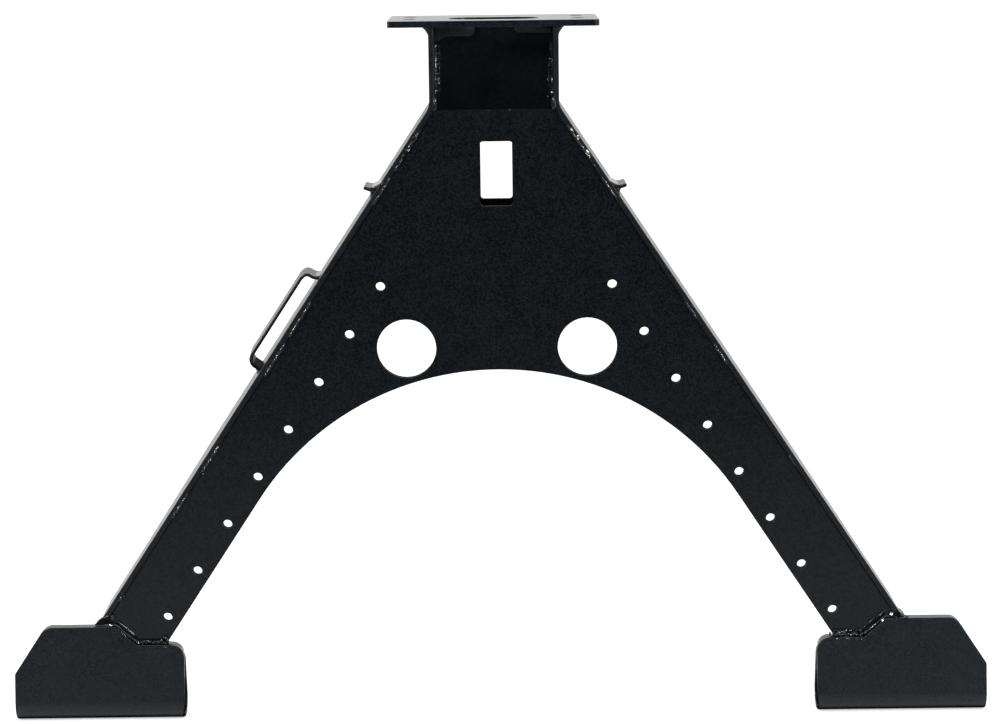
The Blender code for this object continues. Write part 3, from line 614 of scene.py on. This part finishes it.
# across, height, length, width, height of the lump, hollow, way it faces
footDabs = {
    "left": ((-0.3958, 0.0989, 0.0080, 0.0034, 0.0012, 0.3, glints["left"]),
             (-0.3935, 0.1062, 0.0040, 0.0052, 0.0008, 0, frontWay),
             (-0.3685, 0.0807, 0.0044, 0.0022, 0.0014, 0, catchRight),
             (-0.3608, 0.0812, 0.0042, 0.0016, 0.0012, 0, catchRight),
             (-0.3562, 0.0804, 0.0048, 0.0020, 0.0014, 0, catchRight),
             (-0.3512, 0.0812, 0.0026, 0.0012, 0.0010, 0, catchRight),
             (-0.3440, 0.0819, 0.0026, 0.0046, 0.0016, 0, catchLeft),
             (-0.3409, 0.0847, 0.0044, 0.0024, 0.0018, 0, catchRight),
             (-0.3388, 0.0820, 0.0026, 0.0050, 0.0016, 0, catchRight),
             (-0.3417, 0.0792, 0.0038, 0.0020, 0.0012, 0, frontWay),
             (-0.3402, 0.0756, 0.0044, 0.0018, 0.0010, 0, catchRight)),
    "right": ((0.3973, 0.1006, 0.0046, 0.0046, 0.0014, 0.5, glints["right"]),
              (0.3884, 0.0943, 0.0044, 0.0044, 0.0014, 0.5, glints["right"]),
              (0.3401, 0.0842, 0.0030, 0.0018, 0.0012, 0, catchLeft),
              (0.3431, 0.0832, 0.0036, 0.0018, 0.0012, 0.4, catchRight),
              (0.3456, 0.0842, 0.0022, 0.0016, 0.0010, 0, catchLeft),
              (0.3513, 0.0836, 0.0028, 0.0046, 0.0016, 0, catchLeft),
              (0.3553, 0.0836, 0.0032, 0.0018, 0.0012, 0.4, catchLeft),
              (0.3614, 0.0834, 0.0024, 0.0016, 0.0010, 0, catchLeft),
              (0.3660, 0.0834, 0.0030, 0.0030, 0.0012, 0.5, catchLeft),
              (0.3422, 0.0763, 0.0042, 0.0022, 0.0012, 0.3, catchLeft),
              (0.3503, 0.0776, 0.0034, 0.0028, 0.0014, 0, catchLeft),
              (0.3533, 0.0762, 0.0050, 0.0026, 0.0014, 0.4, catchLeft),
              (0.3615, 0.0758, 0.0030, 0.0018, 0.0010, 0, catchLeft),
              (0.3666, 0.0758, 0.0030, 0.0016, 0.0010, 0, catchLeft),
              (0.3348, 0.0806, 0.0020, 0.0048, 0.0014, 0, frontWay)),
}
# lumps scattered along the flat: their number and height, then what both sides share
lumps = {"left": {"count": 7, "level": 0.0806, "scatter": 0.0016},
         "right": {"count": 20, "level": 0.0803, "scatter": 0.0046}}
lumpForm = {"from": 0.3375, "run": 0.0310, "stray": 1.6, "length": 0.0032, "lengthVary": 0.0016,
            "width": 0.0021, "widthVary": 0.0010, "tall": 0.0013, "hollow": 0.3,
            "noiseStep": 1.37, "noiseSide": 2.9, "noiseRow": 0.4, "seed": 3}
noise.seed_set(lumpForm["seed"])            # the vector noise gives the same lumps in every run
heels = {
    "left": ((0.4122, 0.0985), (0.4076, 0.1026), (0.4035, 0.1056), (0.4023, 0.1050),
             (0.3957, 0.1083), (0.3949, 0.1043), (0.3990, 0.0985)),
    "right": ((0.4092, 0.0966), (0.4062, 0.1008), (0.4030, 0.1040), (0.3990, 0.1005),
              (0.4012, 0.0966)),
}
heelFill = {"outline": ((0.3935, 0.0960), (0.4124, 0.0960), (0.4116, 0.0984), (0.4095, 0.0991),
                        (0.3945, 0.0991)),
            "front": 0.0044, "rear": 0.0002, "edge": 0.0010}


def flatLumps(key, side):
    lump = lumps[key]
    faces = (glints[key], frontWay, glints[key], catchRight)
    made = []
    for index in range(lump["count"]):
        jitter = noise.noise_vector(Vector((
            index * lumpForm["noiseStep"], side * lumpForm["noiseSide"], lumpForm["noiseRow"])))
        along = lumpForm["run"] * (index + 0.5 + jitter.x) / lump["count"]
        made.append((side * (lumpForm["from"] + along),
                     lump["level"] + lump["scatter"] * jitter.y * lumpForm["stray"],
                     lumpForm["length"] + lumpForm["lengthVary"] * jitter.z,
                     lumpForm["width"] + lumpForm["widthVary"] * jitter.x,
                     lumpForm["tall"], lumpForm["hollow"], faces[index % len(faces)]))
    return tuple(made)


def footPath(side, depth, drop):
    step = layout["shoeStep"]
    topX = legX(-layout["barThick"], layout["shoeTop"])
    high = Vector((topX - layout["stepInset"], layout["shoeTop"]))
    low = high - Vector((step / math.tan(layout["stepAngle"]), step))
    ends = (Vector((topX - footBead["start"], layout["shoeTop"])), high, low,
            Vector((legX(-layout["legWidth"], low.y - drop), low.y)))
    return [Vector((side * spot.x, depth, spot.y - drop)) for spot in ends]


def footDepth(height):
    if height < layout["shoeTop"] - layout["shoeStep"]:
        return webFace - footBead["shoeProud"]
    onHeel = abs(height - layout["shoeTop"] - footBead["heelAt"]) < footBead["heelBand"]
    return webFace - footBead["heelProud" if onHeel else "proud"]


def toeLine(key, side, start, end, width, tall, onWeb):
    near, far = (Vector((side * spot[0], 0, spot[1])) for spot in (start, end))
    depth = webFace - footBead["toeProud"] if onWeb else footDepth(start[1])
    middle = (near + far) / 2 + back * depth
    return middle, far - near, glints[key], (far - near).length, width, tall, 0


level = Vector((0, 1))
slope = Vector((-math.sin(layout["stepAngle"]), math.cos(layout["stepAngle"])))
mitre = (level + slope) / (1 + slope.y)
for key, side in sides.items():
    run = footBead["run"][key]
    rises = [inView(side, way) for way in (level, mitre, mitre, level)]
    for face, depth, outWay, drop in (("front", webFace, frontWay, 0),
                                      ("back", webBack, back, layout["rearDrop"])):
        path = footPath(side, depth, drop)
        layBead("footBead_%s_%s" % (face, key), ["foot_weld_%s_%s" % (face, key)], path[:3],
                [outWay] * 3, rises[:3], footBead["slope"], run, "bar")
        layBead("footFlat_%s_%s" % (face, key), [], path[2:], [outWay] * 2, rises[3:] * 2,
                footBead["flat"], run, "bar")
    edge = [Vector((side * spot.x, spot.z)) for spot in footPath(side, webFace, 0)][1:]
    rim = list(zip(edge, (mitre, mitre, level)))
    # near-black strip of painted shade under the toe line, along the shoe's top edge
    lower, upper = footBead["paintedShade"]
    strip = [spot + way * lower for spot, way in rim]
    strip += [spot + way * upper for spot, way in reversed(rim)]
    laySlab("footPaintedShade_" + key, [], side, strip, webFace - footBead["paintedShadeRise"],
            webFace + paintedShadeSink["depth"], "paintedShade", paintedShadeSink["edge"])
    layDabs("footDabs_" + key, [
        (Vector((across, footDepth(height), height)), rightWay, facing, length, width, tall, hollow)
        for across, height, length, width, tall, hollow, facing in
        footDabs[key] + flatLumps(key, side)])
    layDabs("toeLines_" + key, [toeLine(key, side, *line) for line in toeLines[key]])
    heelRear = barFront + heelBead["depth"]
    # the heel slab takes the near-black coat: painted shade of the wedge under the bar's end
    laySlab("heelBead_" + key, ["heel_weld_" + key], side, heels[key],
            barFront - heelBead["front"], heelRear, "paintedShade", heelBead["edge"])
    heelEnds = [Vector((side * legX(0, layout["shoeTop"]), depth, layout["shoeTop"]))
                for depth in (heelRear, heelBead["shoeRear"])]
    layBead("heelRun_" + key, [], heelEnds, [rightWay * side] * 2, [inView(side, -legDown)] * 2,
            filletSection(*heelBead["runSection"]), squareRun, "bar")
laySlab("heelFill_left", [], sides["left"], heelFill["outline"], webFace - heelFill["front"],
        webFace - heelFill["rear"], "shoe", heelFill["edge"])
print("shoe beads laid")


# Beads of the strap loop and the lugs
loopBead = {"leg": 0.0045, "power": 2.4}
loopSection = filletSection(loopBead["leg"], loopBead["leg"], loopBead["power"])
for place, along, way in (("upper", layout["loopStart"], -1),
                          ("lower", layout["loopStart"] + layout["loopLength"], 1)):
    front = barFront + layout["loopFront"]
    ends = [legPoint(-1, along, 0, depth) for depth in (front, front + layout["loopWidth"])]
    straightBead("loopBead_" + place, "loop_weld_" + place, ends, inView(-1, legDown * way),
                 inView(-1, legOut), loopSection, squareRun)

lugBead = {"reach": 0.0060, "fall": 0.0095, "rise": 0.0055, "power": 2.5}
for key, side in sides.items():
    middle = layout["shoulder"].y - layout["lugDrop"]
    front = barFront + layout["lugFront"]
    half = layout["lugThick"] / 2
    for place, height, leg in (("lower", middle - half, legDown * lugBead["fall"]),
                               ("upper", middle + half, -legDown * lugBead["rise"])):
        ends = [Vector((side * legX(0, height), depth, height))
                for depth in (front, front + layout["lugWidth"])]
        straightBead("lugBead_%s_%s" % (place, key), "lug_weld_%s_%s" % (place, key), ends,
                     rightWay * side, inView(side, leg.normalized()),
                     filletSection(lugBead["reach"], leg.length, lugBead["power"]), squareRun)
print("loop and lug beads laid")


# Studio: pale floor under the part, white room, darker towards the camera side
floorLook = {
    "front": -6, "back": 30, "half": 14, "level": -0.0004,
    "colour": (0.86, 0.86, 0.86), "lift": 0.48,
    "mirrorBack": (0.0, 0.16),                  # what the paint mirrors: from and to in depth
    "mirrorFront": (-0.062, -0.067, 0.28),      # and how bright, ahead of the part
    "mirrorNear": (-0.13, -0.071, 0.22),        # extra close to the shoes' folds
    "mirrorEnd": (-2.0, -0.15),
}


def makeFloor():
    bm = bmesh.new()
    half, front, rear = floorLook["half"], floorLook["front"], floorLook["back"]
    corners = ((-half, front), (half, front), (half, rear), (-half, rear))
    bm.faces.new([bm.verts.new((x, y, floorLook["level"])) for x, y in corners])
    mesh = bpy.data.meshes.new("paleFloor")
    bm.to_mesh(mesh)
    bm.free()
    paint = bpy.data.materials.new("paleFloor")
    paint.use_nodes = True
    tree = paint.node_tree
    tree.nodes.clear()
    matt = addNode(tree, "ShaderNodeBsdfDiffuse", {"Color": (*floorLook["colour"], 1)})
    glow = addNode(tree, "ShaderNodeEmission", {"Strength": floorLook["lift"]})
    none = addNode(tree, "ShaderNodeEmission", {"Strength": 0})
    both = tree.nodes.new("ShaderNodeAddShader")
    path = tree.nodes.new("ShaderNodeLightPath")
    place = tree.nodes.new("ShaderNodeSeparateXYZ")
    spot = tree.nodes.new("ShaderNodeNewGeometry").outputs["Position"]
    tree.links.new(spot, place.inputs["Vector"])

    def fade(first, last, most=1):
        made = addNode(tree, "ShaderNodeMapRange", {
            "From Min": first, "From Max": last, "To Max": most})
        tree.links.new(place.outputs["Y"], made.inputs["Value"])
        return made.outputs["Result"]

    def join(operation, first, second):
        made = tree.nodes.new("ShaderNodeMath")
        made.operation = operation
        tree.links.new(first, made.inputs[0])
        tree.links.new(second, made.inputs[1])
        return made.outputs["Value"]

    def pick(factor, first, second):
        made = tree.nodes.new("ShaderNodeMixShader")
        tree.links.new(factor, made.inputs["Fac"])
        tree.links.new(first, made.inputs[1])
        tree.links.new(second, made.inputs[2])
        return made.outputs["Shader"]

    ahead = join("MULTIPLY", fade(*floorLook["mirrorFront"]), fade(*floorLook["mirrorEnd"]))
    near = join("MULTIPLY", fade(*floorLook["mirrorFront"][:2]), fade(*floorLook["mirrorNear"]))
    mirrored = join("ADD", join("ADD", ahead, near), fade(*floorLook["mirrorBack"]))
    tree.links.new(matt.outputs["BSDF"], both.inputs[0])
    tree.links.new(glow.outputs["Emission"], both.inputs[1])
    inMirror = pick(mirrored, none.outputs["Emission"], both.outputs["Shader"])
    unseen = pick(path.outputs["Is Glossy Ray"], matt.outputs["BSDF"], inMirror)
    shown = pick(path.outputs["Is Camera Ray"], unseen, both.outputs["Shader"])
    tree.links.new(shown, tree.nodes.new("ShaderNodeOutputMaterial").inputs["Surface"])
    mesh.materials.append(paint)
    floor = bpy.data.objects.new("paleFloor", mesh)
    scene.collection.objects.link(floor)


roomLook = {"frontTurn": (-0.02, -0.45),        # from the sides to behind the camera
            "overhead": (0.35, 0.85), "frontRise": (-0.04, 0.14),
            "frontLow": 0.0, "frontHigh": 0.18}


def makeRoom():
    room = bpy.data.worlds.new("whiteRoom")
    scene.world = room
    room.use_nodes = True
    tree = room.node_tree
    tree.nodes.clear()
    way = tree.nodes.new("ShaderNodeSeparateXYZ")
    looking = tree.nodes.new("ShaderNodeTexCoord").outputs["Generated"]
    tree.links.new(looking, way.inputs["Vector"])

    def ramp(source, first, last, low=0, high=1):
        made = addNode(tree, "ShaderNodeMapRange", {
            "From Min": first, "From Max": last, "To Min": low, "To Max": high})
        made.interpolation_type = "SMOOTHSTEP"
        tree.links.new(source, made.inputs["Value"])
        return made.outputs["Result"]

    def blend(factor, first, second):
        made = tree.nodes.new("ShaderNodeMix")
        for source, index in ((factor, 0), (first, 2), (second, 3)):
            if isinstance(source, float):
                made.inputs[index].default_value = source
            else:
                tree.links.new(source, made.inputs[index])
        return made.outputs[0]

    height = way.outputs["Z"]
    frontSide = ramp(way.outputs["Y"], *roomLook["frontTurn"])
    frontWall = ramp(height, *roomLook["frontRise"], roomLook["frontLow"], roomLook["frontHigh"])
    frontLight = blend(ramp(height, *roomLook["overhead"]), frontWall, 1.0)
    light = blend(frontSide, 1.0, frontLight)
    path = tree.nodes.new("ShaderNodeLightPath")
    seen = blend(path.outputs["Is Camera Ray"], light, 1.0)
    sky = addNode(tree, "ShaderNodeBackground", {"Color": (1, 1, 1, 1)})
    tree.links.new(seen, sky.inputs["Strength"])
    output = tree.nodes.new("ShaderNodeOutputWorld")
    tree.links.new(sky.outputs["Background"], output.inputs["Surface"])


lamps = {
    "keyLamp": {"at": (-1.8, -2.3, 1.75), "size": 0.5, "watts": 55},
    "fillLamp": {"at": (2.0, -2.2, 1.1), "size": 0.5, "watts": 40},
}
lampAim = Vector((0, 0, 0.35))


def makeLamps():
    for name, lamp in lamps.items():
        data = bpy.data.lights.new(name, "AREA")
        data.shape = "SQUARE"
        data.size = lamp["size"]
        data.energy = lamp["watts"]
        lampObject = bpy.data.objects.new(name, data)
        lampObject.location = lamp["at"]
        lampObject.rotation_mode = "QUATERNION"
        beam = lampAim - Vector(lamp["at"])
        lampObject.rotation_quaternion = beam.to_track_quat("-Z", "Y")
        scene.collection.objects.link(lampObject)


view = {"pitch": math.radians(9.614), "roll": math.radians(-0.669), "distance": 2.750,
        "target": Vector((0.0028, webFace, 0.3641)), "lens": 99, "sensor": 36}


def makeCamera():
    data = bpy.data.cameras.new("photoCamera")
    data.lens = view["lens"]
    data.sensor_width = view["sensor"]
    camera = bpy.data.objects.new("photoCamera", data)
    scene.collection.objects.link(camera)
    forward = Vector((0, math.cos(view["pitch"]), -math.sin(view["pitch"])))
    above = rightWay.cross(forward)
    turned = math.cos(view["roll"]) * rightWay + math.sin(view["roll"]) * above
    upright = math.cos(view["roll"]) * above - math.sin(view["roll"]) * rightWay
    camera.matrix_world = Matrix((turned, upright, -forward)).transposed().to_4x4()
    camera.location = view["target"] - forward * view["distance"]
    scene.camera = camera


makeFloor()
makeRoom()
makeLamps()
makeCamera()
scene.view_settings.view_transform = "Standard"
print("studio and camera set")
